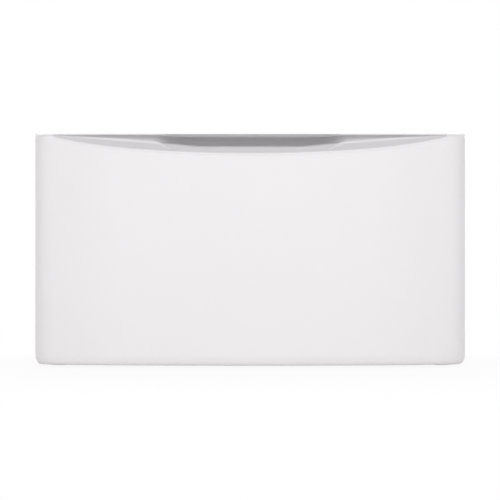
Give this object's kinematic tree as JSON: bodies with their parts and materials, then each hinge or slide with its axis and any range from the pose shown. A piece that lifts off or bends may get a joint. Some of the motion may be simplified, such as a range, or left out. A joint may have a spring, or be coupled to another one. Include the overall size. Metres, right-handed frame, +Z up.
{
  "type": "laundry pedestal with storage drawer",
  "caption": "White steel laundry pedestal with a bowed drawer front, a scooped full-width grip, ball-bearing slides and levelling legs.",
  "frame": {"origin": "centre of the footprint on the floor, under the middle of the part's box", "axes": "+X to the user's right along the width, -Y out of the drawer front, +Z up"},
  "size_m": [0.686, 0.66, 0.372],
  "materials": {
    "cabinet_paint": "white powder coat, semi-gloss",
    "front_paint": "white enamel, gloss",
    "grip_plastic": "white moulded ABS, satin",
    "galvanised_steel": "galvanised sheet, dull",
    "zinc_steel": "bright zinc plate",
    "ball_steel": "polished",
    "cage_nylon": "natural nylon",
    "divider_plastic": "white moulded polypropylene, fine grain",
    "rubber": "black, matte"
  },
  "bodies": {
    "cabinet": {"side_panel_left": "cabinet_paint", "side_panel_right": "cabinet_paint", "rear_panel": "galvanised_steel", "top_plate": "cabinet_paint", "top_rail_front": "cabinet_paint", "top_rail_rear": "cabinet_paint", "base_rail_front": "cabinet_paint", "base_rail_rear": "cabinet_paint", "leg_bracket_front_left": "galvanised_steel", "leg_bracket_front_right": "galvanised_steel", "leg_bracket_rear_left": "galvanised_steel", "leg_bracket_rear_right": "galvanised_steel", "leg_weld_nuts": "zinc_steel", "leg_lock_nuts": "zinc_steel", "slide_bracket_left": "galvanised_steel", "slide_bracket_right": "galvanised_steel", "outer_rail_left": "zinc_steel", "outer_rail_right": "zinc_steel", "outer_rail_rivets": "zinc_steel", "deck_rivets": "cabinet_paint", "rear_screws": "zinc_steel"},
    "leg_front_left": {"leveling_leg_front_left": "zinc_steel", "foot_pad_front_left": "rubber"},
    "leg_front_right": {"leveling_leg_front_right": "zinc_steel", "foot_pad_front_right": "rubber"},
    "leg_rear_left": {"leveling_leg_rear_left": "zinc_steel", "foot_pad_rear_left": "rubber"},
    "leg_rear_right": {"leveling_leg_rear_right": "zinc_steel", "foot_pad_rear_right": "rubber"},
    "slide_middle_left": {"middle_rail_left": "zinc_steel"},
    "slide_middle_right": {"middle_rail_right": "zinc_steel"},
    "cage_outer_left": {"outer_cage_left": "cage_nylon", "outer_balls_left": "ball_steel"},
    "cage_outer_right": {"outer_cage_right": "cage_nylon", "outer_balls_right": "ball_steel"},
    "cage_inner_left": {"inner_cage_left": "cage_nylon", "inner_balls_left": "ball_steel"},
    "cage_inner_right": {"inner_cage_right": "cage_nylon", "inner_balls_right": "ball_steel"},
    "drawer": {"drawer_front": "front_paint", "drawer_front_inner": "cabinet_paint", "grip_insert": "grip_plastic", "front_stiffener": "galvanised_steel", "front_post_left": "galvanised_steel", "front_post_right": "galvanised_steel", "drawer_side_left": "cabinet_paint", "drawer_side_right": "cabinet_paint", "drawer_back": "cabinet_paint", "drawer_bottom": "cabinet_paint", "inner_rail_left": "zinc_steel", "inner_rail_right": "zinc_steel", "inner_rail_rivets": "zinc_steel", "front_screws": "zinc_steel", "panel_screws": "zinc_steel", "grip_screws": "zinc_steel", "drawer_bumpers": "rubber"},
    "divider": {"divider": "divider_plastic"}
  },
  "joints": [
    {"name": "drawer_slide", "type": "slide", "parent": "cabinet", "child": "drawer", "axis": [0, -1, 0], "range_m": [0, 0.45]},
    {"name": "middle_left_slide", "type": "slide", "parent": "cabinet", "child": "slide_middle_left", "axis": [0, -1, 0], "range_m": [0, 0.225]},
    {"name": "middle_right_slide", "type": "slide", "parent": "cabinet", "child": "slide_middle_right", "axis": [0, -1, 0], "range_m": [0, 0.225]},
    {"name": "outer_cage_left_roll", "type": "slide", "parent": "cabinet", "child": "cage_outer_left", "axis": [0, -1, 0], "range_m": [0, 0.1125]},
    {"name": "outer_cage_right_roll", "type": "slide", "parent": "cabinet", "child": "cage_outer_right", "axis": [0, -1, 0], "range_m": [0, 0.1125]},
    {"name": "inner_cage_left_roll", "type": "slide", "parent": "cabinet", "child": "cage_inner_left", "axis": [0, -1, 0], "range_m": [0, 0.3375]},
    {"name": "inner_cage_right_roll", "type": "slide", "parent": "cabinet", "child": "cage_inner_right", "axis": [0, -1, 0], "range_m": [0, 0.3375]},
    {"name": "leg_front_left_screw", "type": "slide", "parent": "cabinet", "child": "leg_front_left", "axis": [0, 0, -1], "range_m": [0, 0.02]},
    {"name": "leg_front_right_screw", "type": "slide", "parent": "cabinet", "child": "leg_front_right", "axis": [0, 0, -1], "range_m": [0, 0.02]},
    {"name": "leg_rear_left_screw", "type": "slide", "parent": "cabinet", "child": "leg_rear_left", "axis": [0, 0, -1], "range_m": [0, 0.02]},
    {"name": "leg_rear_right_screw", "type": "slide", "parent": "cabinet", "child": "leg_rear_right", "axis": [0, 0, -1], "range_m": [0, 0.02]},
    {"name": "divider_slide", "type": "slide", "parent": "drawer", "child": "divider", "axis": [0, -1, 0], "range_m": [-0.15, 0.15]}
  ],
  "couplings": [
    {"joint": "middle_left_slide", "follows": "drawer_slide", "ratio": 0.5},
    {"joint": "middle_right_slide", "follows": "drawer_slide", "ratio": 0.5},
    {"joint": "outer_cage_left_roll", "follows": "drawer_slide", "ratio": 0.25},
    {"joint": "outer_cage_right_roll", "follows": "drawer_slide", "ratio": 0.25},
    {"joint": "inner_cage_left_roll", "follows": "drawer_slide", "ratio": 0.75},
    {"joint": "inner_cage_right_roll", "follows": "drawer_slide", "ratio": 0.75}
  ]
}
